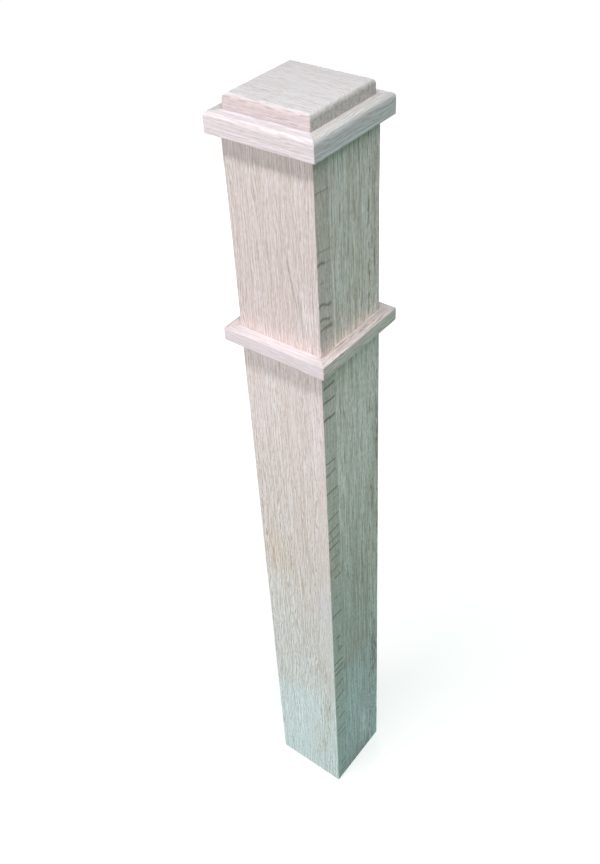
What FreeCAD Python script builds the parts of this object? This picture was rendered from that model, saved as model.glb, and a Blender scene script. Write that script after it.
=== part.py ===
import FreeCAD, Part
import math
import os

# Box newel post of solid oak, with a trim band and a stepped cap.
# The shaft is a hollow box of four boards, glued face to edge: the front and back boards run the
# full width, and the two side boards are caught between them. Four mitred strips make the trim
# band. The cap is a frame of four mitred rails on the boards' ends, closed by a square block.
# Sizes are millimetres. The origin is the centre of the shaft's foot, +Z is up, the front faces -Y.

# Shaft boards
post_width = 120.65
board_thickness = 25.4
shaft_length = 1176.6
shaft_arris_radius = 1.0

# Trim band
trim_underside_height = 913.0
trim_height = 19.05
trim_projection = 14.9
trim_top_radius = 1.0
trim_underside_radius = 2.4
trim_corner_radius = 0.8

# Cap rails
rail_thickness = 23.9
rail_overhang = 12.0
rail_roundover_radius = 5.6
rail_underside_radius = 0.6
rail_corner_radius = 1.0

# Cap block
block_thickness = 16.7
block_setback = 3.2
block_roundover_radius = 6.4
block_corner_radius = 1.2

# Places worked out from the sizes above
half_width = post_width / 2
hollow_half = half_width - board_thickness
trim_reach = half_width + trim_projection
trim_top = trim_underside_height + trim_height
rail_reach = half_width + rail_overhang
rail_top = shaft_length + rail_thickness
block_half = half_width - block_setback
block_top = rail_top + block_thickness

# Turns about the post's axis that carry a front piece to each side
side_turns = {"front": 0, "right": 90, "back": 180, "left": 270}
post_foot = FreeCAD.Vector(0, 0, 0)
post_axis = FreeCAD.Vector(0, 0, 1)


def turned(piece, side):
    """Copy of a front piece, turned about the post's axis to another side."""
    copy = piece.copy()
    copy.rotate(post_foot, post_axis, side_turns[side])
    return copy


def rounded_face(corners):
    """Flat face with square corners, each a (point, radius), rounded by an arc tangent to its two sides."""
    count = len(corners)
    arc_depth = 1 - math.sqrt(0.5)
    bends = []
    for i, (point, radius) in enumerate(corners):
        to_last = (corners[i - 1][0] - point).normalize()
        to_next = (corners[(i + 1) % count][0] - point).normalize()
        middle = point + (to_last + to_next) * radius * arc_depth
        bends.append((point + to_last * radius, middle, point + to_next * radius, radius))
    edges = []
    for i, (start, middle, end, radius) in enumerate(bends):
        if radius > 0:
            edges.append(Part.Arc(start, middle, end).toShape())
        edges.append(Part.LineSegment(end, bends[(i + 1) % count][0]).toShape())
    return Part.Face(Part.Wire(edges))


def plan_face(x_low, x_high, y_low, y_high, z, front_radius, back_radius):
    """Level rectangle with its two front corners and its two back corners rounded."""
    return rounded_face([
        (FreeCAD.Vector(x_low, y_low, z), front_radius),
        (FreeCAD.Vector(x_high, y_low, z), front_radius),
        (FreeCAD.Vector(x_high, y_high, z), back_radius),
        (FreeCAD.Vector(x_low, y_high, z), back_radius),
    ])


def square_prism(reach, low, high, corner_radius):
    """Upright square of half width reach, centred on the post, with rounded corners."""
    plan = plan_face(-reach, reach, -reach, reach, low, corner_radius, corner_radius)
    return plan.extrude(FreeCAD.Vector(0, 0, high - low))


def front_bar(reach, inner, low, high, under_radius, top_radius, inner_top_radius):
    """Straight bar along X with its section across Y and Z, from inner out to reach at the front."""
    section = rounded_face([
        (FreeCAD.Vector(-reach, -reach, low), under_radius),
        (FreeCAD.Vector(-reach, -reach, high), top_radius),
        (FreeCAD.Vector(-reach, -inner, high), inner_top_radius),
        (FreeCAD.Vector(-reach, -inner, low), 0),
    ])
    return section.extrude(FreeCAD.Vector(2 * reach, 0, 0))


def mitred_front_piece(reach, inner, low, high, under_radius, top_radius, corner_radius):
    """Front piece of a mitred square frame: its bar, trimmed on the two diagonals and at the corners."""
    bar = front_bar(reach, inner, low, high, under_radius, top_radius, 0)
    span = 2 * reach
    wedge = Part.Face(Part.makePolygon([
        FreeCAD.Vector(0, 0, low),
        FreeCAD.Vector(-span, -span, low),
        FreeCAD.Vector(span, -span, low),
        FreeCAD.Vector(0, 0, low),
    ])).extrude(FreeCAD.Vector(0, 0, high - low))
    return bar.common(square_prism(reach, low, high, corner_radius)).common(wedge)


def front_shaft_board():
    """Full-width board, its two outer long edges eased."""
    plan = plan_face(-half_width, half_width, -half_width, -hollow_half, 0, shaft_arris_radius, 0)
    return plan.extrude(FreeCAD.Vector(0, 0, shaft_length))


def right_shaft_board():
    """Side board between the front and back boards, flush with their edges."""
    plan = plan_face(hollow_half, half_width, -hollow_half, hollow_half, 0, 0, 0)
    return plan.extrude(FreeCAD.Vector(0, 0, shaft_length))


def trim_front_strip():
    """Trim strip against the shaft's front face."""
    return mitred_front_piece(trim_reach, half_width, trim_underside_height, trim_top,
                              trim_underside_radius, trim_top_radius, trim_corner_radius)


def cap_front_rail():
    """Cap rail on the boards' ends, flush with the hollow inside and overhanging outside."""
    return mitred_front_piece(rail_reach, hollow_half, shaft_length, rail_top,
                              rail_underside_radius, rail_roundover_radius, rail_corner_radius)


def cap_top_block():
    """Square block with its four top edges rounded over, so that two crossing bars bound it."""
    along_x = front_bar(block_half, -block_half, rail_top, block_top,
                        0, block_roundover_radius, block_roundover_radius)
    along_y = turned(along_x, "right")
    outline = square_prism(block_half, rail_top, block_top, block_corner_radius)
    return along_x.common(along_y).common(outline)


front_board = front_shaft_board()
right_board = right_shaft_board()
trim_strip = trim_front_strip()
cap_rail = cap_front_rail()

pieces = {
    "front_board": front_board,
    "back_board": turned(front_board, "back"),
    "right_board": right_board,
    "left_board": turned(right_board, "back"),
    "cap_block": cap_top_block(),
}
for side in side_turns:
    pieces["trim_" + side] = turned(trim_strip, side)
    pieces["cap_rail_" + side] = turned(cap_rail, side)

os.makedirs("parts", exist_ok=True)
for name, shape in pieces.items():
    solid = shape.removeSplitter().Solids[0]
    solid.exportStep("parts/" + name + ".step")
    box = solid.BoundBox
    print(name, "volume", round(solid.Volume), "faces", len(solid.Faces),
          "size", round(box.XLength, 2), round(box.YLength, 2), round(box.ZLength, 2))
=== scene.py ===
# %% [markdown]
# # A box newel post in bare oak
# The post is a hollow square shaft of four boards, a mitred trim band and a stepped cap. The measured
# solids come in as a fixed frame, so every piece made here already knows its place. This first cell
# loads that frame and keeps its box.

# %% Load the measured frame
import math
from dataclasses import dataclass, replace
import bpy
import numpy as np
from mathutils import Matrix, Vector


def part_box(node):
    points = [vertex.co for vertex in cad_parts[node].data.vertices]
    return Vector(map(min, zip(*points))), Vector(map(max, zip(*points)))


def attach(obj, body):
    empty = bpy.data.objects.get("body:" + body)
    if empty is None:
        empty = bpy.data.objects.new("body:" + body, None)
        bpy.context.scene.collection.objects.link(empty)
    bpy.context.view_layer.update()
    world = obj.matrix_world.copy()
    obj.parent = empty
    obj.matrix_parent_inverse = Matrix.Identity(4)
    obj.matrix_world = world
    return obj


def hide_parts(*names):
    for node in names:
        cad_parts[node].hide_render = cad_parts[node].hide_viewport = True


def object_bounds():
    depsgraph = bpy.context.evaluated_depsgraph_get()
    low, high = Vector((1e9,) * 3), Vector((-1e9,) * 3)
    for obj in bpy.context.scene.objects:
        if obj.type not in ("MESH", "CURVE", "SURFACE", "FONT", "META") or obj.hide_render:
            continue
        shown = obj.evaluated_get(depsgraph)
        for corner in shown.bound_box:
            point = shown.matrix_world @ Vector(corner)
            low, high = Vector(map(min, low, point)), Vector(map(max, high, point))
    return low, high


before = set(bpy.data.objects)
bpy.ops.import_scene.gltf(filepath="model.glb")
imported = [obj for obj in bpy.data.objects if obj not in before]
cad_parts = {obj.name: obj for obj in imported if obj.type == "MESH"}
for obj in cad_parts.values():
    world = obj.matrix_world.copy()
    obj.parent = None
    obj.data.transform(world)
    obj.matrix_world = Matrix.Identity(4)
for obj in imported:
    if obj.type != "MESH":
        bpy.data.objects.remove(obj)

MM = 0.001
cad_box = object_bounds()
print("frame nodes:", len(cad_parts), "box", [tuple(round(v, 4) for v in c) for c in cad_box])

# %% [markdown]
# ## Camera
# The view is from standing height, looking down at the post from beyond its front right corner. The camera
# is set by the same few values that a tripod has: how far round, how high, how tilted and how far away.
# Its three axes are written out as a matrix, because aiming with a constraint would lose the tilt.

# %% Camera
CAMERA_ROUND = math.radians(39.81)
CAMERA_HIGH = math.radians(40.69)
CAMERA_TILT = math.radians(-3.65)
CAMERA_AWAY = 1.2908
AIM_HEIGHT = 0.7480
AIM_SIDE = -0.0210
LENS_MM = 40.02
LENS_SHIFT = 0.00058


def camera_axes(around, high, tilt):
    """Camera axes: level right, then right and up as tilted, and back, from the object to the camera."""
    back = Vector((math.sin(around) * math.cos(high), -math.cos(around) * math.cos(high), math.sin(high)))
    level = Vector((math.cos(around), math.sin(around), 0))
    upright = back.cross(level)
    right = math.cos(tilt) * level + math.sin(tilt) * upright
    up = math.cos(tilt) * upright - math.sin(tilt) * level
    return level, right, up, back


level_axis, right_axis, up_axis, back_axis = camera_axes(CAMERA_ROUND, CAMERA_HIGH, CAMERA_TILT)
camera = bpy.data.objects.new("camera", bpy.data.cameras.new("camera"))
camera.data.lens = LENS_MM
camera.data.shift_x, camera.data.shift_y = -LENS_SHIFT, LENS_SHIFT
camera_place = Vector((0, 0, AIM_HEIGHT)) + back_axis * CAMERA_AWAY + level_axis * AIM_SIDE
camera_turn = Matrix((right_axis, up_axis, back_axis)).transposed().to_4x4()
camera.matrix_world = Matrix.Translation(camera_place) @ camera_turn
bpy.context.scene.collection.objects.link(camera)
bpy.context.scene.camera = camera
print("camera at", tuple(round(v, 3) for v in camera_place))

# %% [markdown]
# ## Floor and light
# A plain white floor carries the post's soft shadow. Seen by the camera it glows a little, so that it
# reads as white paper. Every other ray finds a dull floor, so that little light bounces up from it. The
# world does the same: white behind the object, and only a weak greenish fill on it. A long tube, high in
# front, throws the narrow shadows under the cap and the trim. A broad panel lights the front, a weak
# greenish one the right side, and a small cool lamp the foot. One more panel stands behind, for the sides
# that this view doesn't show. One big lamp would be simpler, but its shadows would be wide and blurred.

# %% Shared node helpers
def feed(tree, spot, value):
    """Links a socket into an input, or sets the input's own value."""
    if isinstance(value, bpy.types.NodeSocket):
        tree.links.new(value, spot)
    else:
        spot.default_value = value


def new_node(tree, kind, *values, operation=None, **named):
    """Adds a node and feeds its inputs, first in order and then by name."""
    made = tree.nodes.new(kind)
    if operation:
        made.operation = operation
    for spot, value in zip(made.inputs, values):
        feed(tree, spot, value)
    for name, value in named.items():
        feed(tree, made.inputs[name.replace("_", " ")], value)
    return made


def seen_or_mirrored(tree):
    """1 for rays that make the background visible: camera, glossy and transmission rays."""
    path = new_node(tree, "ShaderNodeLightPath")
    most = path.outputs["Is Camera Ray"]
    for name in ("Is Glossy Ray", "Is Transmission Ray"):
        most = new_node(tree, "ShaderNodeMath", most, path.outputs[name], operation="MAXIMUM").outputs[0]
    return most


# %% Floor
FLOOR_HALF = 12.0
FLOOR_SEEN = (0.42, 0.43, 0.425, 1)
FLOOR_BOUNCE = (0.10, 0.11, 0.105, 1)
GLOW_NEAR = 0.66
GLOW_FAR = 0.98
GLOW_REACH = 1.7

floor_mesh = bpy.data.meshes.new("floor")
corners = [(-FLOOR_HALF, -FLOOR_HALF, 0), (FLOOR_HALF, -FLOOR_HALF, 0),
           (FLOOR_HALF, FLOOR_HALF, 0), (-FLOOR_HALF, FLOOR_HALF, 0)]
floor_mesh.from_pydata(corners, [], [(0, 1, 2, 3)])
floor = bpy.data.objects.new("floor", floor_mesh)
bpy.context.scene.collection.objects.link(floor)

paper = bpy.data.materials.new("floor_paper")
paper.use_nodes = True
tree = paper.node_tree
tree.nodes.clear()
matt = new_node(tree, "ShaderNodeBsdfDiffuse", Color=FLOOR_SEEN)
dull = new_node(tree, "ShaderNodeBsdfDiffuse", Color=FLOOR_BOUNCE)
floor_place = new_node(tree, "ShaderNodeTexCoord").outputs["Object"]
away = new_node(tree, "ShaderNodeVectorMath", floor_place, operation="LENGTH").outputs["Value"]
brightness = new_node(tree, "ShaderNodeMapRange", Value=away, From_Max=GLOW_REACH,
                      To_Min=GLOW_NEAR, To_Max=GLOW_FAR)
glow = new_node(tree, "ShaderNodeEmission", Strength=brightness.outputs["Result"])
both = tree.nodes.new("ShaderNodeAddShader")
tree.links.new(matt.outputs[0], both.inputs[0])
tree.links.new(glow.outputs[0], both.inputs[1])
choose = tree.nodes.new("ShaderNodeMixShader")
tree.links.new(seen_or_mirrored(tree), choose.inputs["Fac"])
tree.links.new(dull.outputs[0], choose.inputs[1])
tree.links.new(both.outputs[0], choose.inputs[2])
out = tree.nodes.new("ShaderNodeOutputMaterial")
tree.links.new(choose.outputs[0], out.inputs["Surface"])
floor_mesh.materials.append(paper)
print("floor", 2 * FLOOR_HALF, "m square")

# %% World and lamps
FILL_COLOUR = (0.60, 1.0, 0.82, 1)
FILL_LEVEL = 0.085
KEY_PLACE = (0.50, -0.60, 2.43)
KEY_SIZE = (1.8, 0.16)
KEY_POWER = 29.0
PANEL_PLACE = (-0.75, -2.1, 1.00)
PANEL_SIZE = (1.8, 1.8)
PANEL_POWER = 43.0
SIDE_PLACE = (1.6, 0.2, 0.95)
SIDE_SIZE = (1.2, 1.4)
SIDE_POWER = 6.0
FOOT_PLACE = (0.22, -0.44, 0.06)
FOOT_SIZE = (0.3, 0.1)
FOOT_POWER = 0.27
BACK_PLACE = (-1.5, 1.9, 0.70)
BACK_SIZE = (1.4, 1.2)
BACK_POWER = 30.0
# Heights that the lamps face, as shares of the post's height
KEY_AIM = 0.8
PANEL_AIM = 0.4
BACK_AIM = 0.5
PLAIN_WHITE = (1.0, 0.99, 0.99)
GREEN_WHITE = (0.55, 1.0, 0.76)
COOL_WHITE = (0.25, 1.0, 0.97)

world = bpy.data.worlds.new("studio")
bpy.context.scene.world = world
world.use_nodes = True
tree = world.node_tree
tree.nodes.clear()
fill = new_node(tree, "ShaderNodeBackground", Color=FILL_COLOUR, Strength=FILL_LEVEL)
white = new_node(tree, "ShaderNodeBackground", Color=(1, 1, 1, 1), Strength=1.0)
choose = tree.nodes.new("ShaderNodeMixShader")
tree.links.new(seen_or_mirrored(tree), choose.inputs["Fac"])
tree.links.new(fill.outputs[0], choose.inputs[1])
tree.links.new(white.outputs[0], choose.inputs[2])
out = tree.nodes.new("ShaderNodeOutputWorld")
tree.links.new(choose.outputs[0], out.inputs["Surface"])


def area_lamp(name, place, aim, size, power, colour):
    """Flat rectangular lamp at place, facing aim."""
    data = bpy.data.lights.new(name, "AREA")
    data.shape = "RECTANGLE"
    data.size, data.size_y = size
    data.energy = power
    data.color = colour
    lamp = bpy.data.objects.new(name, data)
    lamp.location = place
    lamp.rotation_euler = (Vector(aim) - Vector(place)).to_track_quat("-Z", "Y").to_euler()
    bpy.context.scene.collection.objects.link(lamp)
    print(name, "at", place, power, "W")


post_top = cad_box[1].z
below_key = (KEY_PLACE[0], 0, post_top * KEY_AIM)
area_lamp("key_tube", KEY_PLACE, below_key, KEY_SIZE, KEY_POWER, PLAIN_WHITE)
area_lamp("front_panel", PANEL_PLACE, (0, 0, post_top * PANEL_AIM), PANEL_SIZE, PANEL_POWER, PLAIN_WHITE)
area_lamp("side_panel", SIDE_PLACE, (0, 0, post_top * PANEL_AIM), SIDE_SIZE, SIDE_POWER, GREEN_WHITE)
area_lamp("foot_light", FOOT_PLACE, (0, 0, FOOT_PLACE[2]), FOOT_SIZE, FOOT_POWER, COOL_WHITE)
area_lamp("back_panel", BACK_PLACE, (0, 0, post_top * BACK_AIM), BACK_SIZE, BACK_POWER, PLAIN_WHITE)
bpy.context.scene.view_settings.view_transform = "Standard"

# %% [markdown]
# ## Sections and surfaces
# Every piece of this post was sawn, planed and eased along its edges, so one idea makes them all: a
# section, drawn as a closed loop with a quarter circle at each corner, is carried along a path. A box with
# a Bevel modifier would be quicker, but here the radii can change along the way. The loops of all steps
# are computed as one array, and neighbouring loops are joined by rows of quads.

# %% Loop and surface helpers
ARC_STEPS = 6
CREASE_ANGLE = math.radians(40)


def eased_loop(low, high, radii, side_steps):
    """Closed loop round a rectangle, shape (steps, points, 2), for every step of a path at once.

    low and high are the corners, (steps, 2). radii holds four arrays, one radius a step, for the corners
    taken anticlockwise from low. A corner's arc is centre + r * (d_in * sin(a) - d_out * cos(a)) for a
    from 0 to 90 degrees, with d_in and d_out the directions of the sides before and after it. A side is
    divided evenly into side_steps[k] parts.
    """
    turn = np.linspace(0, np.pi / 2, ARC_STEPS)[None, :, None]
    sides = np.array([(0, -1), (1, 0), (0, 1), (-1, 0)], float)
    x_low, y_low = low.T
    x_high, y_high = high.T
    around = ((x_low, y_low), (x_high, y_low), (x_high, y_high), (x_low, y_high))
    corner = [np.stack(point, -1) for point in around]
    arcs = []
    for k in range(4):
        before, after = sides[k], sides[(k + 1) % 4]
        radius = radii[k][:, None, None]
        centre = corner[k][:, None, :] + (after - before) * radius
        arcs.append(centre + radius * (before * np.sin(turn) - after * np.cos(turn)))
    parts = []
    for k in range(4):
        start, end = arcs[k][:, -1:], arcs[(k + 1) % 4][:, :1]
        share = np.linspace(0, 1, side_steps[k] + 1)[None, 1:-1, None]
        parts += [arcs[k], start + (end - start) * share]
    return np.concatenate(parts, axis=1)


def carried_piece(name, rows, **fields):
    """Mesh object from rows[i, j], point j of the loop at step i, closed by a flat face at each end.

    Each field is an array with one number a point, kept as a mesh attribute for the finish to read.
    """
    steps, count = rows.shape[:2]
    index = np.arange(steps * count).reshape(steps, count)
    ahead = np.roll(index, -1, axis=1)
    quads = np.stack([index[:-1], ahead[:-1], ahead[1:], index[1:]], -1).reshape(-1, 4)
    faces = quads.tolist() + [index[0, ::-1].tolist(), index[-1].tolist()]
    mesh = bpy.data.meshes.new(name)
    mesh.from_pydata(rows.reshape(-1, 3).tolist(), [], faces)
    mesh.shade_smooth()
    mesh.set_sharp_from_angle(angle=CREASE_ANGLE)
    for field, values in fields.items():
        made = mesh.attributes.new(field, "FLOAT", "POINT")
        made.data.foreach_set("value", np.ascontiguousarray(values, dtype=np.float32).ravel())
    piece = bpy.data.objects.new(name, mesh)
    bpy.context.scene.collection.objects.link(piece)
    flat = piece.modifiers.new("flat_faces", "WEIGHTED_NORMAL")
    flat.keep_sharp = True
    return piece


def stand_for(piece, node):
    """The piece takes the node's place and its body."""
    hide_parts(node)
    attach(piece, "root")
    print(piece.name, len(piece.data.polygons), "faces, stands for", node)


# %% [markdown]
# ## Shaft boards
# The front and back boards run the full width, and the side boards are caught between them, so the front
# board's edge shows on the side of the post. Hand sanding eases the two outer arrises, a little more in
# one place than in another. The rows of the front board gather where a ray fleck crosses its edge, which
# gives the flecks a fine enough mesh without making the whole board dense.

# %% Sizes from the frame
front_low, front_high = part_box("front_board")
half_width = front_high.x
board_thickness = front_high.y - front_low.y
shaft_length = front_high.z
hollow_half = half_width - board_thickness
print("shaft", round(2 * half_width / MM, 2), "mm wide, boards", round(board_thickness / MM, 2), "mm")

# %% Ray flecks
# Height above the foot in millimetres, share of the edge where it starts and ends, darkness, half
# thickness, rise to the right and wave, in millimetres.
FLECKS = (
    (1135, 0.00, 0.98, 0.65, 0.8, 0.0, 0.5), (1066, 0.02, 0.98, 0.55, 0.8, -1.5, 0.8),
    (1051, 0.00, 0.58, 0.85, 2.3, -1.0, 1.8), (1050, 0.50, 0.98, 0.55, 1.0, -0.5, 0.0),
    (1028, 0.12, 0.45, 0.55, 1.0, 0.0, 0.4), (998, 0.00, 1.00, 0.85, 2.2, -3.0, 2.4),
    (979, 0.04, 0.86, 0.80, 2.0, -1.0, 2.2), (969, 0.04, 0.40, 0.75, 1.8, 4.0, 0.0),
    (967, 0.36, 1.00, 0.85, 2.6, -4.0, -0.6), (883, 0.06, 1.00, 1.00, 1.8, 2.5, 0.6),
    (866, 0.22, 0.72, 0.50, 0.9, 0.0, 0.4), (861, 0.00, 1.00, 1.00, 1.6, -0.5, 0.4),
    (834, 0.00, 1.00, 1.00, 2.0, 0.0, 1.0), (761, 0.00, 0.90, 0.90, 1.3, -5.0, -0.8),
    (753, 0.12, 0.48, 0.40, 1.0, 0.0, 0.0), (742, 0.02, 0.88, 0.95, 1.3, 1.5, -0.6),
    (709, 0.00, 1.00, 1.00, 1.3, 0.5, 0.4), (693, 0.60, 0.96, 0.40, 1.0, 0.0, 0.0),
    (660, 0.00, 0.98, 0.85, 1.3, 2.0, 0.2), (636, 0.00, 1.00, 0.95, 1.3, 1.8, 0.2),
    (617, 0.00, 1.00, 0.95, 1.3, 0.5, 0.3), (603, 0.00, 1.00, 1.00, 1.6, 1.0, 0.3),
    (585, 0.68, 1.00, 0.70, 1.2, 0.0, 0.0), (579, 0.12, 0.98, 0.80, 1.2, 1.5, 0.3),
    (556, 0.14, 0.94, 0.85, 1.3, 4.0, 0.3), (536, 0.40, 1.00, 0.95, 1.6, 1.0, 0.5),
    (492, 0.28, 0.92, 0.70, 1.3, 0.0, 0.4), (454, 0.00, 0.98, 0.95, 1.6, 0.0, 0.4),
    (397, 0.32, 0.74, 1.00, 2.2, -1.0, 0.0), (372, 0.44, 0.76, 0.90, 1.7, -2.0, 0.0),
    (365, 0.38, 1.00, 0.90, 1.7, -2.0, -0.6), (337, 0.00, 1.00, 1.00, 1.7, -3.0, 0.0),
    (322, 0.00, 1.00, 1.00, 1.8, -0.8, 0.0), (309, 0.04, 1.00, 1.00, 1.8, -0.8, 0.2),
    (280, 0.02, 0.92, 1.00, 1.7, 2.5, 0.0), (246, 0.00, 1.00, 1.00, 1.8, 8.0, 0.0),
    (220, 0.02, 0.36, 0.90, 2.2, 1.0, 0.0), (184, 0.28, 1.00, 1.00, 1.8, 5.0, -0.5),
    (152, 0.14, 1.00, 0.80, 1.7, 2.5, -1.0), (137, 0.10, 1.00, 0.80, 1.7, -0.5, 0.5),
    (81, 0.70, 1.00, 0.50, 1.7, 0.0, 0.0), (43, 0.34, 0.90, 0.70, 2.3, 6.0, 0.0),
    (27, 0.50, 1.00, 0.75, 2.3, 6.0, 0.0), (15, 0.25, 1.00, 0.55, 2.8, 4.0, 0.0),
)
print(len(FLECKS), "ray flecks")

# %% Board shapes
ARRIS = 1.0 * MM
SHARP = 0.15 * MM
ROW_GAP = 12 * MM
# Uneven sanding: each wave's radians in a metre, phase and strength, and their share of the radius
SANDING_WAVES = ((19.0, 0.6, 1.0), (47.0, 2.1, 0.6))
SANDING_SHARE = 0.22
# A fleck's soft ends as a share of the edge, and the rows of mesh near it, spread in millimetres
FLECK_FADE = 0.07
FLECK_SPREAD = 6
FLECK_ROWS = 21
EDGE_DEPTH = 0.4 * MM


def sanded_arris(height):
    """Radius of a hand-eased arris: the mean radius times 1 + share * a sum of waves in the height."""
    wave = sum(strength * np.sin(height * pace + phase) for pace, phase, strength in SANDING_WAVES)
    return ARRIS * (1 + SANDING_SHARE * wave)


def raised(loop, heights):
    """Flat loops, one for each height, lifted to it."""
    return np.concatenate([loop, np.broadcast_to(heights[:, None, None], loop.shape[:2] + (1,))], axis=2)


def board_rows(low, high, outer, heights, side_steps):
    """Upright board: its rectangle, with the corners in outer eased, carried up through the heights."""
    steps = len(heights)
    radii = [sanded_arris(heights) if k in outer else np.full(steps, SHARP) for k in range(4)]
    loop = eased_loop(np.tile(low, (steps, 1)), np.tile(high, (steps, 1)), radii, side_steps)
    return raised(loop, heights)


def eased_points(side_steps, outer):
    """1 on the points inside the arcs of the outer corners, 0 on the rest of the loop."""
    arc = np.zeros(ARC_STEPS)
    arc[1:-1] = 1
    flat = [np.zeros(count - 1) for count in side_steps]
    return np.concatenate([part for k in range(4) for part in (arc * (k in outer), flat[k])])


def fleck_field(rows):
    """Darkness of the ray flecks at each point: soft lines across the front board's right edge.

    With u from 0 at the arris to 1 at the joint, a fleck's line is its height + rise * (u - 0.5) +
    wave * sin(2 pi u), and its darkness falls off as a bell curve of its thickness.
    """
    share = ((rows[..., 1] + half_width) / board_thickness)[None]
    height, start, end, dark, thick, rise, wave = (c[:, None, None] for c in np.array(FLECKS).T)
    line = height + rise * (share - 0.5) + wave * np.sin(2 * np.pi * share)
    across = np.clip((share - start) / FLECK_FADE, 0, 1) * np.clip((end - share) / FLECK_FADE, 0, 1)
    bell = np.exp(-((rows[..., 2][None] / MM - line) / thick) ** 2)
    on_edge = rows[..., 0] > half_width - EDGE_DEPTH
    return (dark * bell * across).max(axis=0) * on_edge


# %% Boards
# Parts along each side of the section, and the corners that are eased
WIDE_STEPS = (14, 22, 4, 5)
SIDE_STEPS = (4, 16, 4, 6)
OUTER = (0, 1)
even_heights = np.linspace(0, shaft_length, round(shaft_length / ROW_GAP) + 1)
around_fleck = np.linspace(-FLECK_SPREAD, FLECK_SPREAD, FLECK_ROWS)
near_flecks = (np.array(FLECKS)[:, :1] + around_fleck).ravel() * MM
fine_heights = np.unique(np.round(np.concatenate([even_heights, near_flecks]), 4))
fine_heights = np.unique(np.append(fine_heights[fine_heights < shaft_length], shaft_length))
wide_low, wide_high = (-half_width, -half_width), (half_width, -hollow_half)
side_low, side_high = (hollow_half, -hollow_half), (half_width, hollow_half)
half_turn = np.array((-1, -1, 1))
front_rows = board_rows(wide_low, wide_high, OUTER, fine_heights, WIDE_STEPS)
back_rows = board_rows(wide_low, wide_high, OUTER, even_heights, WIDE_STEPS) * half_turn
side_rows = board_rows(side_low, side_high, (), even_heights, SIDE_STEPS)
eased = eased_points(WIDE_STEPS, OUTER)
boards = {
    "front_board": carried_piece("oak_front_board", front_rows, ray_fleck=fleck_field(front_rows),
                                 arris=np.tile(eased, (len(front_rows), 1))),
    "back_board": carried_piece("oak_back_board", back_rows, arris=np.tile(eased, (len(back_rows), 1))),
    "right_board": carried_piece("oak_right_board", side_rows),
    "left_board": carried_piece("oak_left_board", side_rows * half_turn),
}
for node, piece in boards.items():
    stand_for(piece, node)

# %% [markdown]
# ## Trim strips and cap rails
# Both are square frames of four bars with mitred corners. On a mitre at 45 degrees a fibre that runs at
# distance d from the post's axis is exactly 2 d long, so the bar needs no cutting: the loop is simply
# stretched to x = t * d for t from -1 to 1. A hair is taken off each end, so that the mitre shows as the
# fine line that a real glued joint has. The four sides are the same array, turned by quarter turns.

# %% Mitred bars
MITRE_GAP = 0.12 * MM
BAR_STEPS = 49
BAR_SIDE_STEPS = (4, 6, 6, 4)
BUNCHING = 0.7
LEAST_RADIUS = 1e-7
TRIM_TOP = 1.0 * MM
TRIM_UNDERSIDE = 2.4 * MM
TRIM_CORNER = 0.8 * MM
RAIL_ROUNDOVER = 5.6 * MM
RAIL_UNDERSIDE = 0.6 * MM
RAIL_CORNER = 1.0 * MM
SIDES = ("front", "right", "back", "left")


def mitred_rows(inner, reach, low, high, under, over, corner):
    """Front bar of a mitred frame, as loops along t: x = t * (d - gap), y = -d, with eased plan corners.

    d is a section point's distance from the post's axis. Where x passes d - c, for the corner radius c
    left at that depth, the point is drawn onto a quarter circle of radius c about (d - c, d - c). The
    steps along t lie closest together near the ends.
    """
    bunched = np.sin(np.linspace(-np.pi / 2, np.pi / 2, BAR_STEPS))
    along = np.sign(bunched) * np.abs(bunched) ** BUNCHING
    steps = len(along)
    radii = [np.full(steps, r) for r in (SHARP, under, over, SHARP)]
    section = eased_loop(np.tile((inner, low), (steps, 1)), np.tile((reach, high), (steps, 1)),
                         radii, BAR_SIDE_STEPS)
    depth, height = section[..., 0], section[..., 1]
    x = along[:, None] * (depth - MITRE_GAP)
    radius = np.maximum(corner - (reach - depth), LEAST_RADIUS)
    core = depth - radius
    past = np.maximum(np.abs(x) - core, 0)
    pull = radius / np.hypot(past, radius)
    x = np.sign(x) * np.where(past > 0, core + past * pull, np.abs(x))
    return np.stack([x, -(core + radius * pull), height], axis=2)


def turned(rows, quarter_turns):
    """Rows turned about the post's axis by quarter turns, from the front towards the right."""
    angle = quarter_turns * math.pi / 2
    cosine, sine = round(math.cos(angle)), round(math.sin(angle))
    return rows @ np.array(((cosine, sine, 0), (-sine, cosine, 0), (0, 0, 1)), float)


trim_low, trim_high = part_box("trim_front")
rail_low, rail_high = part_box("cap_rail_front")
trim_rows = mitred_rows(half_width, -trim_low.y, trim_low.z, trim_high.z,
                        TRIM_UNDERSIDE, TRIM_TOP, TRIM_CORNER)
rail_rows = mitred_rows(hollow_half, -rail_low.y, rail_low.z, rail_high.z,
                        RAIL_UNDERSIDE, RAIL_ROUNDOVER, RAIL_CORNER)
trims, rails = {}, {}
for quarter, name in enumerate(SIDES):
    trims[name] = carried_piece("oak_trim_" + name, turned(trim_rows, quarter))
    stand_for(trims[name], "trim_" + name)
    rails[name] = carried_piece("oak_cap_rail_" + name, turned(rail_rows, quarter))
    stand_for(rails[name], "cap_rail_" + name)

# %% [markdown]
# ## Cap block
# The block is one square of board whose top edges were rounded over with a router. Its path goes upwards:
# a square loop climbs the sides, then leans in along a quarter circle, inset r * (1 - cos a) at height
# r * sin a, and a flat face closes the top. Where two roundovers meet at a corner they leave a soft ridge.

# %% Block
BLOCK_ROUNDOVER = 6.4 * MM
BLOCK_CORNER = 1.2 * MM
BLOCK_FOOT = 0.3 * MM
BLOCK_SIDE_STEPS = (24, 24, 24, 24)
BLOCK_ROUNDOVER_STEPS = 12
BLOCK_FOOT_STEPS = 4


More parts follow.
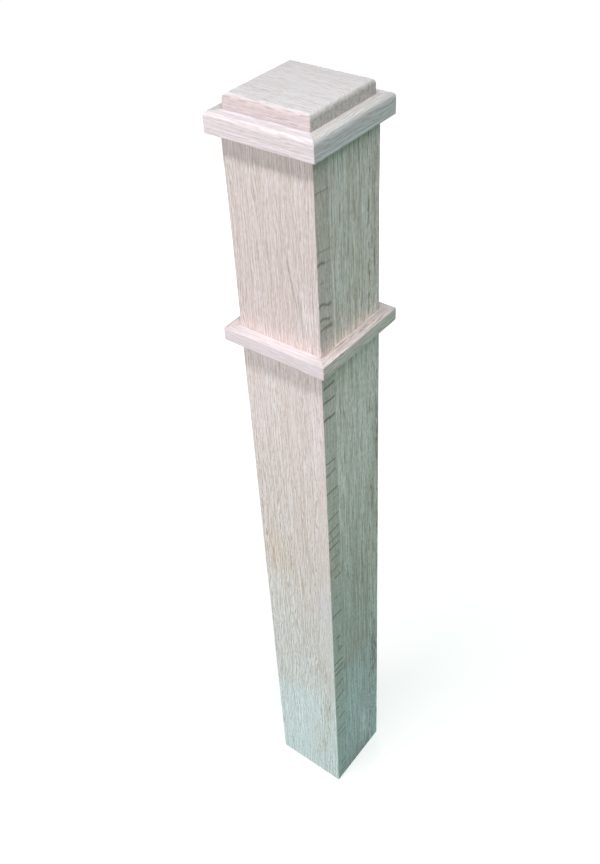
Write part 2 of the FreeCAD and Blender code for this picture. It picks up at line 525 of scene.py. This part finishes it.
def block_rows(half, low, high):
    """Rows up the block: a small ease at the foot, the side, the quarter-circle roundover."""
    lean = np.linspace(0, np.pi / 2, BLOCK_ROUNDOVER_STEPS)
    foot = np.linspace(np.pi / 2, 0, BLOCK_FOOT_STEPS)
    inset = np.concatenate([BLOCK_FOOT * (1 - np.cos(foot)), BLOCK_ROUNDOVER * (1 - np.cos(lean))])
    height = np.concatenate([low + BLOCK_FOOT * (1 - np.sin(foot)),
                             high - BLOCK_ROUNDOVER * (1 - np.sin(lean))])
    reach = (half - inset)[:, None] * np.ones(2)
    radii = [np.maximum(BLOCK_CORNER - inset, SHARP)] * 4
    return raised(eased_loop(-reach, reach, radii, BLOCK_SIDE_STEPS), height)


block_low, block_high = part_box("cap_block")
block = carried_piece("oak_cap_block", block_rows(block_high.x, block_low.z, block_high.z))
stand_for(block, "cap_block")

# %% [markdown]
# ## Oak
# All the pieces are bare oak, planed and sanded, sawn from different boards, so one description with a few
# numbers serves them all. The pattern is solid: it is worked out in space, in millimetres, with the grain
# along the third axis, so that lines run on round every edge. A pattern wrapped round each piece would
# break there. Sine waves across the grain, pushed aside by noise, give the fine lines, and dashes on the
# dark ones are the open pores. Noise stretched along the grain gives the streaks, and very fine noise the
# fibres. A hidden knot makes the lines near it wave. End grain is darker, and dotted with pores.

# %% Node helpers for the oak
def calc(tree, operation, *values):
    """Result of a Math node."""
    return new_node(tree, "ShaderNodeMath", *values, operation=operation).outputs[0]


def vector(tree, operation, *values):
    """Vector result of a Vector Math node."""
    return new_node(tree, "ShaderNodeVectorMath", *values, operation=operation).outputs["Vector"]


def number(tree, operation, *values):
    """Number result of a Vector Math node, such as a length."""
    return new_node(tree, "ShaderNodeVectorMath", *values, operation=operation).outputs["Value"]


def soft_step(tree, value, start, end):
    """Rises smoothly from 0 at start to 1 at end. With start above end it falls instead."""
    made = new_node(tree, "ShaderNodeMapRange", Value=value, From_Min=start, From_Max=end)
    made.interpolation_type = "SMOOTHSTEP"
    return made.outputs["Result"]


# Places of the Mix node's amount and two colours among its inputs, and of its colour among its outputs
MIX_INPUTS = (0, 6, 7)
MIX_OUTPUT = 2


def mixed(tree, blend, amount, first, second):
    """Colour Mix node: second laid over first by the amount."""
    made = tree.nodes.new("ShaderNodeMix")
    made.data_type = "RGBA"
    made.blend_type = blend
    for socket, value in zip(MIX_INPUTS, (amount, first, second)):
        feed(tree, made.inputs[socket], value)
    return made.outputs[MIX_OUTPUT]


def tinted(tree, colour, amount, tint):
    """The colour multiplied by a tint, as far as amount says."""
    linked = isinstance(tint, bpy.types.NodeSocket)
    return mixed(tree, "MULTIPLY", amount, colour, tint if linked else (*tint, 1))


def blended(tree, amount, low, high):
    """Colour between two fixed ones."""
    return mixed(tree, "MIX", amount, (*low, 1), (*high, 1))


def scaled(tree, place, size):
    """The place, counted in grains of size (across, along) millimetres."""
    return vector(tree, "MULTIPLY", place, (1 / size[0], 1 / size[0], 1 / size[1]))


def cloud(tree, place, size, detail=2.0, rough=0.5):
    """Noise about 0.5, with grains of size (across, along) in millimetres."""
    return new_node(tree, "ShaderNodeTexNoise", Vector=scaled(tree, place, size), Scale=1.0, Detail=detail,
                    Roughness=rough).outputs["Fac"]


def swirl(tree, place, size):
    """Push to every side, about zero, with swirls of size (across, along) in millimetres."""
    noise = new_node(tree, "ShaderNodeTexNoise", Vector=scaled(tree, place, size), Scale=1.0, Detail=1.0)
    return vector(tree, "SUBTRACT", noise.outputs["Color"], (0.5, 0.5, 0.5))


# %% One kind of oak
@dataclass
class Oak:
    """Look of one sawn piece. Sizes are (across, along the grain) in millimetres.

    The grain runs along axis, seed picks the part of the log, and sway bends everything gently. knot is
    the height of a hidden knot. line, streak, pore, fibre, ring and drift are strengths, line_gap and
    ring_gap are spacings, wander and bend_size push the lines aside, a higher dash_level leaves fewer
    dashes, pith is where the log's heart lies beside the piece, and end_shade darkens the end grain.
    """
    tint: tuple = (0.65, 0.60, 0.58)
    axis: str = "Z"
    seed: float = 0.0
    sway: float = 1.3
    knot: float = None
    line: float = 0.36
    line_gap: float = 2.7
    wander: float = 8.0
    bend_size: tuple = (8.0, 60.0)
    streak: float = 0.40
    streak_size: tuple = (8.0, 180.0)
    pore: float = 0.45
    dash_size: tuple = (2.6, 10.0)
    dash_level: float = 0.48
    fibre: float = 0.15
    ring: float = 0.06
    ring_gap: float = 11.0
    pith: tuple = (12.0, 70.0)
    drift: float = 0.12
    end_shade: float = 0.86

    @property
    def log_place(self):
        """How far this piece is moved through the log, in millimetres."""
        return self.seed, 2 * self.seed, 3 * self.seed


# %% Place in the log
GRAIN_TURN = {"X": (0, -math.pi / 2, 0), "Y": (math.pi / 2, 0, 0), "Z": (0, 0, 0)}
SWAY_SIZE = (45, 150)
KNOT_SIZE = (65, 75)
KNOT_REACH = 190.0
KNOT_SWAY = 8.0


def object_place(tree):
    """Place on the piece in millimetres."""
    seen = new_node(tree, "ShaderNodeTexCoord").outputs["Object"]
    return vector(tree, "MULTIPLY", seen, (1 / MM, 1 / MM, 1 / MM))


def round_knot(tree, oak, moved, swayed):
    """The place pushed aside by a shorter swirl, strongest at the height of a hidden knot."""
    height = new_node(tree, "ShaderNodeSeparateXYZ", Vector=moved).outputs["Z"]
    off = calc(tree, "ABSOLUTE", calc(tree, "SUBTRACT", height, oak.knot + oak.log_place[2]))
    push = new_node(tree, "ShaderNodeVectorMath", swirl(tree, moved, KNOT_SIZE), operation="SCALE",
                    Scale=soft_step(tree, off, KNOT_REACH, 0.0)).outputs["Vector"]
    return vector(tree, "MULTIPLY_ADD", push, (2 * KNOT_SWAY, 2 * KNOT_SWAY, 0), swayed)


def grain_place(tree, oak):
    """Place with the grain along the third axis, moved to its part of the log and gently swayed."""
    moved = new_node(tree, "ShaderNodeMapping", Vector=object_place(tree), Rotation=GRAIN_TURN[oak.axis],
                     Location=oak.log_place).outputs[0]
    push = swirl(tree, moved, SWAY_SIZE)
    swayed = vector(tree, "MULTIPLY_ADD", push, (2 * oak.sway, 2 * oak.sway, 0), moved)
    return swayed if oak.knot is None else round_knot(tree, oak, moved, swayed)


# %% Rings, lines, pores and fibres
# Direction that the lines are counted in, across the grain
LINE_WAY = (0.82, 0.57, 0)
# Gap of the wide lines in gaps of the fine ones, push on the fine lines, and the shares of both
WIDE_GAP = 1.7
FINE_PUSH = -1.5
FINE_SHARE = 0.6
WIDE_SHARE = 0.4
DRIFT_SIZE = (70, 420)
# Part of a fine line's wave that holds pores, softness of a dash's ends, and crowding in spring wood
PORE_LINE = (-0.1, -0.9)
DASH_SOFT = 0.05
CROWDING = 0.6
FIBRE_SIZE = (1.8, 7.0)
FIBRE_ROUGH = 0.6


def ring_band(tree, oak, place):
    """Wave from 0 to 1 with the distance from the pith: light summer wood and porous spring wood."""
    heart = (oak.pith[0] + oak.log_place[0], oak.pith[1] + oak.log_place[1], 0)
    off_pith = vector(tree, "SUBTRACT", place, heart)
    distance = number(tree, "LENGTH", vector(tree, "MULTIPLY", off_pith, (1, 1, 0)))
    wave = calc(tree, "SINE", calc(tree, "MULTIPLY", distance, 2 * math.pi / oak.ring_gap))
    return calc(tree, "MULTIPLY_ADD", wave, 0.5, 0.5)


def grain_lines(tree, oak, place):
    """Fine and wide lines along the grain, each from -1 to 1: sines across it, pushed aside by noise."""
    across = number(tree, "DOT_PRODUCT", place, LINE_WAY)
    bend = cloud(tree, place, oak.bend_size, detail=1.5)
    push = calc(tree, "MULTIPLY_ADD", bend, 2 * oak.wander, -oak.wander)
    pace = 2 * math.pi / oak.line_gap
    fine = calc(tree, "MULTIPLY_ADD", push, FINE_PUSH, calc(tree, "MULTIPLY", across, pace))
    wide = calc(tree, "MULTIPLY_ADD", across, pace / WIDE_GAP, push)
    return calc(tree, "SINE", fine), calc(tree, "SINE", wide)


def oak_grain(tree, oak):
    """Paleness about 0.5, the share of open pores, and fine fibres about 0.5, at each point of the wood.

    The pores are dashes that lie on the dark lines, crowded in the rings' spring wood.
    """
    place = grain_place(tree, oak)
    band = ring_band(tree, oak, place)
    fine, wide = grain_lines(tree, oak, place)
    pale = calc(tree, "MULTIPLY_ADD", wide, WIDE_SHARE * oak.line, 0.5)
    pale = calc(tree, "MULTIPLY_ADD", fine, FINE_SHARE * oak.line, pale)
    streaks = cloud(tree, place, oak.streak_size)
    drift = cloud(tree, place, DRIFT_SIZE, detail=1.0)
    for value, share in ((streaks, oak.streak), (drift, oak.drift), (band, oak.ring)):
        pale = calc(tree, "MULTIPLY_ADD", calc(tree, "SUBTRACT", value, 0.5), 2 * share, pale)
    dash = cloud(tree, place, oak.dash_size, detail=1.0)
    dash = soft_step(tree, dash, oak.dash_level - DASH_SOFT, oak.dash_level + DASH_SOFT)
    crowd = calc(tree, "MULTIPLY_ADD", band, CROWDING, 1 - CROWDING)
    pores = calc(tree, "MULTIPLY", soft_step(tree, fine, *PORE_LINE), calc(tree, "MULTIPLY", dash, crowd))
    pores = calc(tree, "MULTIPLY", pores, oak.pore)
    return pale, pores, cloud(tree, place, FIBRE_SIZE, rough=FIBRE_ROUGH)


# %% From grain to shader
DARK_GRAIN = (0.84, 0.79, 0.745)
PALE_GRAIN = (1.15, 1.20, 1.24)
PORE_TINT = (0.62, 0.57, 0.53)
END_DOT_TINT = (0.80, 0.77, 0.75)
END_DOT_SIZE = (3.4, 3.4)
END_DOT_STEP = (0.40, 0.62)
# End grain keeps this share of its green and blue beside its red
END_WARMTH = 0.93
# Share of the grain that goes where the wood is smooth
CALMING = 0.7
ROUGHNESS = 0.66
PORE_ROUGHNESS = 0.25
GLOSS = 0.30
BUMP_STRENGTH = 0.35
BUMP_DEPTH = 0.2 * MM
GRAIN_WAY = {"X": (1, 0, 0), "Y": (0, 1, 0), "Z": (0, 0, 1)}
# How squarely a face has to look along the way, for the change to start and to be complete
FLAT_FACE = (0.45, 0.95)
ROUNDED_FACE = (0.2, 0.8)


def start_finish(name):
    """New material with an empty node tree."""
    made = bpy.data.materials.new(name)
    made.use_nodes = True
    made.node_tree.nodes.clear()
    return made, made.node_tree


def faced(tree, way, steps=FLAT_FACE):
    """1 on faces that look along the way, either sense, and 0 on faces across it."""
    normal = new_node(tree, "ShaderNodeNewGeometry").outputs["Normal"]
    along = number(tree, "DOT_PRODUCT", normal, GRAIN_WAY[way])
    return soft_step(tree, calc(tree, "ABSOLUTE", along), *steps)


def finish_oak(tree, oak, colour, smooth=None):
    """Lays the grain over a colour and joins it to the shader. Where smooth is 1 most of the grain goes.

    End grain is darker, and dotted with open pores.
    """
    pale, pores, fibres = oak_grain(tree, oak)
    if smooth is not None:
        keep = calc(tree, "MULTIPLY_ADD", smooth, -CALMING, 1.0)
        pale = calc(tree, "MULTIPLY_ADD", calc(tree, "SUBTRACT", pale, 0.5), keep, 0.5)
        pores = calc(tree, "MULTIPLY", pores, keep)
    end = faced(tree, oak.axis)
    dots = soft_step(tree, cloud(tree, object_place(tree), END_DOT_SIZE, detail=1.5), *END_DOT_STEP)
    colour = tinted(tree, colour, calc(tree, "MULTIPLY", end, dots), END_DOT_TINT)
    colour = tinted(tree, colour, 1.0, blended(tree, pale, DARK_GRAIN, PALE_GRAIN))
    dark_fibre, pale_fibre = (1 - oak.fibre,) * 3, (1 + oak.fibre,) * 3
    colour = tinted(tree, colour, 1.0, blended(tree, fibres, dark_fibre, pale_fibre))
    colour = tinted(tree, colour, pores, PORE_TINT)
    shade = oak.end_shade
    colour = tinted(tree, colour, end, (shade, shade * END_WARMTH, shade * END_WARMTH))
    height = calc(tree, "SUBTRACT", pale, pores)
    bump = new_node(tree, "ShaderNodeBump", Height=height, Strength=BUMP_STRENGTH, Distance=BUMP_DEPTH)
    rough = calc(tree, "MULTIPLY_ADD", pores, PORE_ROUGHNESS, ROUGHNESS)
    shader = new_node(tree, "ShaderNodeBsdfPrincipled", Base_Color=colour, Roughness=rough,
                      Normal=bump.outputs[0], Specular_IOR_Level=GLOSS)
    new_node(tree, "ShaderNodeOutputMaterial", Surface=shader.outputs[0])


# %% [markdown]
# ## Shaft finish
# A tall board is not one colour: the wood is rosier near the cap, greyer lower down, and pale from
# bleaching at the foot below a ragged line, where it also takes a painted cool cast of light from the
# floor. Just above the trim the wood is painted warmer and brighter, as painted light bounced up from the
# trim's top, and the side boards are painted darker at their very foot, as painted shade. A colour ramp
# over the height carries the slow change, and the boards' edges have a ramp of their own. Soft leaning
# ovals, worked out in the plane of the face, place the single stains and dark streaks that the eye picks
# out, and a few more calm the grain.
# Painting them would need an image. The ragged line is the height itself, pushed up and down by noise.

# %% Tone and stain helpers
BLEACH_RAGGED_SIZE = (7, 60)
BLEACH_RAGGED_PUSH = 35.0
BLEACH_SOFT = 9.0
STAIN_RAGGED_SIZE = (4.0, 22.0)
STAIN_RAGGED_STEP = (0.32, 0.62)


def height_tone(tree, height, tones):
    """Colour along the height: tones holds (height in millimetres, colour) from the foot upwards."""
    full = shaft_length / MM
    ramp = new_node(tree, "ShaderNodeValToRGB", Fac=calc(tree, "DIVIDE", height, full))
    stops = ramp.color_ramp.elements
    for index, (stop_height, colour) in enumerate(tones):
        stop = stops[index] if index < len(stops) else stops.new(1.0)
        stop.position = stop_height / full
        stop.color = (*colour, 1)
    return ramp.outputs["Color"]


def stain(tree, place, centre, size, lean):
    """1 at the middle of an oval of half size (across, up), fading to 0 at its rim, leaning by degrees."""
    local = new_node(tree, "ShaderNodeMapping", Vector=place, Location=(centre[0], 0, centre[1]),
                     Rotation=(0, math.radians(lean), 0), Scale=(size[0], 1, size[1]))
    local.vector_type = "TEXTURE"
    return soft_step(tree, number(tree, "LENGTH", local.outputs[0]), 1.0, 0.0)


def stained(tree, colour, place, stains, where=None):
    """The colour under a list of ovals, broken up by noise along the grain, and by where if given."""
    ragged = cloud(tree, object_place(tree), STAIN_RAGGED_SIZE, detail=2.5, rough=0.7)
    ragged = soft_step(tree, ragged, *STAIN_RAGGED_STEP)
    if where is not None:
        ragged = calc(tree, "MULTIPLY", ragged, where)
    for centre, size, lean, tint in stains:
        amount = calc(tree, "MULTIPLY", stain(tree, place, centre, size, lean), ragged)
        colour = tinted(tree, colour, amount, tint)
    return colour


def bleached_and_painted_cool(tree, place, base, slope, fade):
    """1 below a ragged line at base + slope * across, in millimetres, and 0 above it. Below the line the
    wood is pale from bleaching and takes a painted cool cast of light from the floor.

    From the left arris to the right it loses the share fade with each millimetre.
    """
    part = new_node(tree, "ShaderNodeSeparateXYZ", Vector=place)
    ragged = cloud(tree, place, BLEACH_RAGGED_SIZE)
    ragged = calc(tree, "MULTIPLY_ADD", ragged, 2 * BLEACH_RAGGED_PUSH, -BLEACH_RAGGED_PUSH)
    line = calc(tree, "MULTIPLY_ADD", part.outputs["X"], slope, base)
    over = calc(tree, "SUBTRACT", calc(tree, "ADD", part.outputs["Z"], ragged), line)
    share = calc(tree, "MULTIPLY_ADD", part.outputs["X"], -fade, 1 - fade * half_width / MM)
    return calc(tree, "MULTIPLY", soft_step(tree, over, BLEACH_SOFT, -BLEACH_SOFT), share)


def side_face_place(tree):
    """Place on a face to the right or left: its Y is the first axis, and its depth is left out."""
    quarter = new_node(tree, "ShaderNodeMapping", Vector=object_place(tree), Rotation=(0, 0, -math.pi / 2))
    return vector(tree, "MULTIPLY", quarter.outputs[0], (1, 0, 1))


def mesh_field(tree, name):
    """Number kept at each point of the piece's mesh under this name."""
    made = new_node(tree, "ShaderNodeAttribute")
    made.attribute_name = name
    return made.outputs["Fac"]


# %% Tones of the boards
# Height in millimetres and colour, from the foot upwards. Edge tones multiply the board's own. The warmer
# stops from about 930 to 960 millimetres are painted warm light, bounced up from the trim's top.
FRONT_TONES_AND_PAINTED_GLOW = ((0, (0.675, 0.67, 0.66)), (310, (0.66, 0.64, 0.62)), (430, (0.67, 0.635, 0.61)),
               (550, (0.68, 0.62, 0.59)), (910, (0.685, 0.605, 0.595)), (935, (0.66, 0.55, 0.54)),
               (960, (0.62, 0.53, 0.52)), (1110, (0.585, 0.51, 0.495)))
# The side boards' lowest stop, darker up to 40 millimetres, is painted shade at their foot.
SIDE_TONES_PAINTED_GLOW_AND_SHADE = ((0, (0.57, 0.51, 0.53)), (40, (0.74, 0.68, 0.70)), (200, (0.75, 0.71, 0.73)),
              (315, (0.66, 0.61, 0.60)), (430, (0.67, 0.63, 0.615)), (720, (0.85, 0.76, 0.755)),
              (918, (0.76, 0.675, 0.665)), (932, (0.92, 0.725, 0.715)), (945, (0.84, 0.69, 0.69)),
              (958, (0.76, 0.645, 0.64)), (990, (0.74, 0.655, 0.645)), (1090, (0.69, 0.615, 0.61)))
FRONT_EDGE_TONES_AND_PAINTED_GLOW = ((900, (1.07, 1.07, 1.07)), (932, (1.36, 1.22, 1.25)), (946, (1.19, 1.14, 1.17)),
                    (1000, (1.16, 1.16, 1.19)), (1060, (1.07, 1.07, 1.07)))
BACK_EDGE_TONES = ((900, (1.28, 1.27, 1.31)), (1000, (1.32, 1.35, 1.38)), (1060, (1.28, 1.27, 1.31)))
# Pale bleaching at the foot, together with a painted cool cast of light from the floor: mostly green and
# blue go up.
BLEACH_AND_PAINTED_COOL_TINT = (1.03, 1.13, 1.17)
FLECK_TINT = (0.34, 0.33, 0.31)
MOTTLE_TINT = (0.86, 0.86, 0.86)
# Sanded arrises are painted lighter, partly as worn wood and partly as a painted highlight.
ARRIS_WEAR_AND_HIGHLIGHT_TINT = (1.12, 1.12, 1.12)
MOTTLE_SIZE = (3.0, 4.5)
MOTTLE_STEP = (0.35, 0.65)
# Height of the ragged line at the foot in millimetres, its slope, and for the front its fade with each
# millimetre. Below it the wood is pale from bleaching, with a painted cool cast of light.
FRONT_BLEACH_AND_PAINTED_COOL = (231, 0.43, 0.005)
SIDE_BLEACH_AND_PAINTED_COOL = (290, 0.0)

# %% Stains of the boards
# Centre (across, up) and half size in millimetres, lean in degrees, and tint.
FRONT_STAINS = (
    ((-36, 540), (44, 75), 0, (0.95, 0.89, 0.78)),
    ((8, 500), (5, 55), -5, (0.84, 0.78, 0.70)),
    ((48, 480), (24, 80), 0, (0.97, 1.02, 1.10)),
    ((42, 980), (24, 42), 0, (1.16, 1.22, 1.27)),
    ((22, 1030), (3, 85), -10, (0.66, 0.61, 0.56)),
    ((34, 985), (3, 60), -6, (0.74, 0.70, 0.66)),
    ((3, 826), (4, 60), 6, (0.90, 0.87, 0.84)),
    ((31, 818), (4, 42), 8, (0.90, 0.87, 0.84)),
    ((4, 752), (5, 42), -9, (0.92, 0.89, 0.86)),
    ((42, 310), (14, 80), -12, (0.86, 0.79, 0.73)),
    ((46, 205), (14, 85), 3, (0.78, 0.68, 0.59)),
    ((34, 100), (13, 85), 14, (0.88, 0.82, 0.76)),
    ((-18, 330), (5, 60), -4, (0.86, 0.84, 0.81)),
    ((-6, 345), (4, 50), -6, (0.88, 0.86, 0.83)),
)
SIDE_STAINS = (
    ((-24, 708), (5, 60), -9, (1.26, 1.26, 1.25)),
    ((-31, 640), (5, 55), -9, (1.22, 1.22, 1.21)),
    ((-16, 690), (3, 60), -8, (1.20, 1.20, 1.19)),
    ((-14, 830), (5, 70), 0, (1.14, 1.14, 1.13)),
    ((12, 1060), (5, 90), 0, (1.16, 1.16, 1.15)),
    ((-8, 1080), (4, 70), 0, (0.78, 0.77, 0.77)),
    ((8, 620), (5, 95), 3, (0.82, 0.81, 0.81)),
    ((20, 74), (23, 72), 0, (1.48, 1.60, 1.64)),
    ((22, 95), (3, 70), 2, (1.30, 1.30, 1.30)),
    ((10, 80), (3, 60), 2, (1.30, 1.30, 1.30)),
)
EDGE_STAINS = (
    ((55, 745), (7, 120), 0, (0.30, 0.30, 0.30)),
    ((46, 640), (4, 70), 0, (0.62, 0.61, 0.60)),
    ((50, 1010), (4, 60), 0, (0.62, 0.60, 0.58)),
    ((57, 480), (4, 60), 0, (0.62, 0.61, 0.60)),
    ((57, 565), (3, 55), 0, (0.50, 0.50, 0.50)),
    ((55, 850), (3, 50), 0, (0.55, 0.54, 0.53)),
    ((47, 130), (45, 190), 0, (0.84, 0.78, 0.81)),
    ((49, 260), (17, 125), 0, (0.46, 0.49, 0.54)),
    ((52, 260), (4, 60), 0, (0.60, 0.60, 0.60)),
)
# The grain calms between these heights up to a share, and in ovals, each with its own share.
CALM_HEIGHTS = (520, 930)
CALM_ABOVE = 0.56
CALM_OVALS = (((56, 500), (36, 600), 1.0), ((-5, 70), (75, 175), 0.5))


# %% Board finishes
def calmed(tree, place, height, edge, edge_smooth):
    """How far the grain goes: edge_smooth on the edges, and on the face by height and in ovals."""
    calm = calc(tree, "MULTIPLY", soft_step(tree, height, *CALM_HEIGHTS), CALM_ABOVE)
    for centre, size, share in CALM_OVALS:
        oval = stain(tree, place, centre, size, 0)
        calm = calc(tree, "MAXIMUM", calm, calc(tree, "MULTIPLY", oval, share))
    return calc(tree, "MULTIPLY_ADD", edge, calc(tree, "SUBTRACT", edge_smooth, calm), calm)


def wide_oak(name, oak, sign, edge_smooth, edge_tones, edge_stains=()):
    """Wide board: toned by height, stained, pale from bleaching at the foot, with flecks on its edge. Its
    tones are painted warmer just above the trim, as painted light bounced from the trim, the pale foot has
    a painted cool cast of light, and its sanded arrises are painted lighter, partly as wear and partly as
    a painted highlight.

    sign turns the pattern for the back board, edge_smooth says how far the grain goes on the edges,
    edge_tones colour them by height and edge_stains lie on them.
    """
    made, tree = start_finish(name)
    place = vector(tree, "MULTIPLY", object_place(tree), (sign, 0, 1))
    height = new_node(tree, "ShaderNodeSeparateXYZ", Vector=place).outputs["Z"]
    edge = faced(tree, "X")
    colour = height_tone(tree, height, FRONT_TONES_AND_PAINTED_GLOW)
    colour = stained(tree, colour, place, FRONT_STAINS)
    colour = stained(tree, colour, side_face_place(tree), edge_stains, edge)
    colour = tinted(tree, colour, bleached_and_painted_cool(tree, place, *FRONT_BLEACH_AND_PAINTED_COOL), BLEACH_AND_PAINTED_COOL_TINT)
    colour = tinted(tree, colour, edge, height_tone(tree, height, edge_tones))
    mottled = soft_step(tree, cloud(tree, object_place(tree), MOTTLE_SIZE), *MOTTLE_STEP)
    colour = tinted(tree, colour, calc(tree, "MULTIPLY", edge, mottled), MOTTLE_TINT)
    colour = tinted(tree, colour, mesh_field(tree, "ray_fleck"), FLECK_TINT)
    # The eased arrises are painted lighter: partly wear, partly a painted highlight.
    colour = tinted(tree, colour, mesh_field(tree, "arris"), ARRIS_WEAR_AND_HIGHLIGHT_TINT)
    finish_oak(tree, oak, colour, calmed(tree, place, height, edge, edge_smooth))
    return made


def side_oak(name, oak, fade):
    """Side board: toned by height, stained, and pale from bleaching at the foot as far as fade leaves it.
    Its tones hold a painted warm glow above the trim and painted shade at the very foot, and the pale foot
    a painted cool cast of light.
    """
    made, tree = start_finish(name)
    place = side_face_place(tree)
    height = new_node(tree, "ShaderNodeSeparateXYZ", Vector=place).outputs["Z"]
    colour = height_tone(tree, height, SIDE_TONES_PAINTED_GLOW_AND_SHADE)
    colour = stained(tree, colour, place, SIDE_STAINS)
    colour = tinted(tree, colour, bleached_and_painted_cool(tree, place, *SIDE_BLEACH_AND_PAINTED_COOL, fade), BLEACH_AND_PAINTED_COOL_TINT)
    finish_oak(tree, oak, colour)
    return made


# %% Finishes on the boards
FRONT_OAK = Oak(seed=311, knot=320, line=0.58, pore=0.68, fibre=0.30)
BACK_OAK = Oak(seed=947, line_gap=3.1, pore=1.1, dash_size=(3.5, 15.0), fibre=0.36)
RIGHT_OAK = Oak(seed=173, line=0.50, line_gap=2.6, wander=10.0, bend_size=(7.0, 130.0), streak=0.8,
                streak_size=(6.0, 300.0), pore=0.55, dash_size=(2.4, 26.0), dash_level=0.47, fibre=0.52)
LEFT_OAK = replace(RIGHT_OAK, seed=659)
FRONT_EDGE_SMOOTH = 0.8
BACK_EDGE_SMOOTH = 0.0
RIGHT_FADE = 0.004
LEFT_FADE = 0.007

board_finishes = {
    "front_board": wide_oak("oak_front", FRONT_OAK, 1, FRONT_EDGE_SMOOTH, FRONT_EDGE_TONES_AND_PAINTED_GLOW),
    "back_board": wide_oak("oak_back", BACK_OAK, -1, BACK_EDGE_SMOOTH, BACK_EDGE_TONES, EDGE_STAINS),
    "right_board": side_oak("oak_right", RIGHT_OAK, RIGHT_FADE),
    "left_board": side_oak("oak_left", LEFT_OAK, LEFT_FADE),
}
for node, finish in board_finishes.items():
    boards[node].data.materials.append(finish)
print("shaft finishes on", ", ".join(sorted(boards)))

# %% [markdown]
# ## Trim and cap finish
# The strips and rails lie along the sides, so their grain is turned to run with them. The front ones have
# a calmer grain than the side ones, as boards from two trees would, and each top is painted a tint of its
# own,
# as painted light and shade: lighter and cooler on the front tops, darker on the side rails' tops beside
# the block. The block's grain runs from side to side, so that its right face is dark, dotted end grain,
# and its front and back edges are painted rosier and darker than its top, as painted light and shade.

# %% Kinds of oak in the trim and the cap
TRIM_OAK = {"front": Oak(tint=(0.693, 0.605, 0.634), axis="X", seed=83, line=0.22, streak=0.2, pore=0.2),
            "right": Oak(tint=(0.70, 0.61, 0.61), axis="Y", seed=131, line=0.42, streak=0.7, pore=0.6)}
RAIL_OAK = {"front": Oak(tint=(0.645, 0.58, 0.605), axis="X", seed=41, line=0.28, streak=0.3, pore=0.25),
            "right": Oak(tint=(0.62, 0.57, 0.62), axis="Y", seed=229, line=0.30, line_gap=2.2, wander=9.0,
                         bend_size=(12.0, 45.0), streak=0.3, ring=0.16, ring_gap=5)}
BLOCK_OAK = Oak(tint=(0.645, 0.61, 0.63), axis="X", seed=57, line=0.20, line_gap=1.9, wander=7.0,
                bend_size=(6.0, 45.0), streak=0.2, pore=0.5, dash_size=(2.2, 9.0))
# Tints of the tops, and of the block's front and back: painted light and shade between a piece's faces.
TOP_PAINTED_LIGHT_AND_SHADE = {("trim", "front"): (1.08, 1.12, 1.12), ("trim", "right"): (1.03, 1.02, 1.01),
            ("cap_rail", "front"): (1.03, 1.06, 1.08), ("cap_rail", "right"): (0.90, 0.92, 0.84)}
BLOCK_EDGE_PAINTED_LIGHT = (0.85, 0.76, 0.75)

# %% Finishes on the trim and the cap
LIKE = {"front": "front", "right": "right", "back": "front", "left": "right"}
# Pieces of the back and the left come from this much further through the log
FAR_SEED = 500


def plain_oak(name, oak, edge_way, painted_light_tint):
    """Finish for a small piece in two tones: the faces that look along edge_way take the tint, a painted
    difference of light and shade between its faces.
    """
    made, tree = start_finish(name)
    colour = tinted(tree, (*oak.tint, 1), faced(tree, edge_way, ROUNDED_FACE), painted_light_tint)
    finish_oak(tree, oak, colour, faced(tree, oak.axis, ROUNDED_FACE))
    return made


for kind, group, finishes in (("trim", trims, TRIM_OAK), ("cap_rail", rails, RAIL_OAK)):
    for side, piece in group.items():
        like = LIKE[side]
        near = finishes[like]
        oak = near if side == like else replace(near, seed=near.seed + FAR_SEED)
        piece.data.materials.append(plain_oak("oak_" + kind + "_" + side, oak, "Z", TOP_PAINTED_LIGHT_AND_SHADE[kind, like]))
block.data.materials.append(plain_oak("oak_block", BLOCK_OAK, "Y", BLOCK_EDGE_PAINTED_LIGHT))
print("trim and cap finishes on", len(trims) + len(rails) + 1, "pieces")
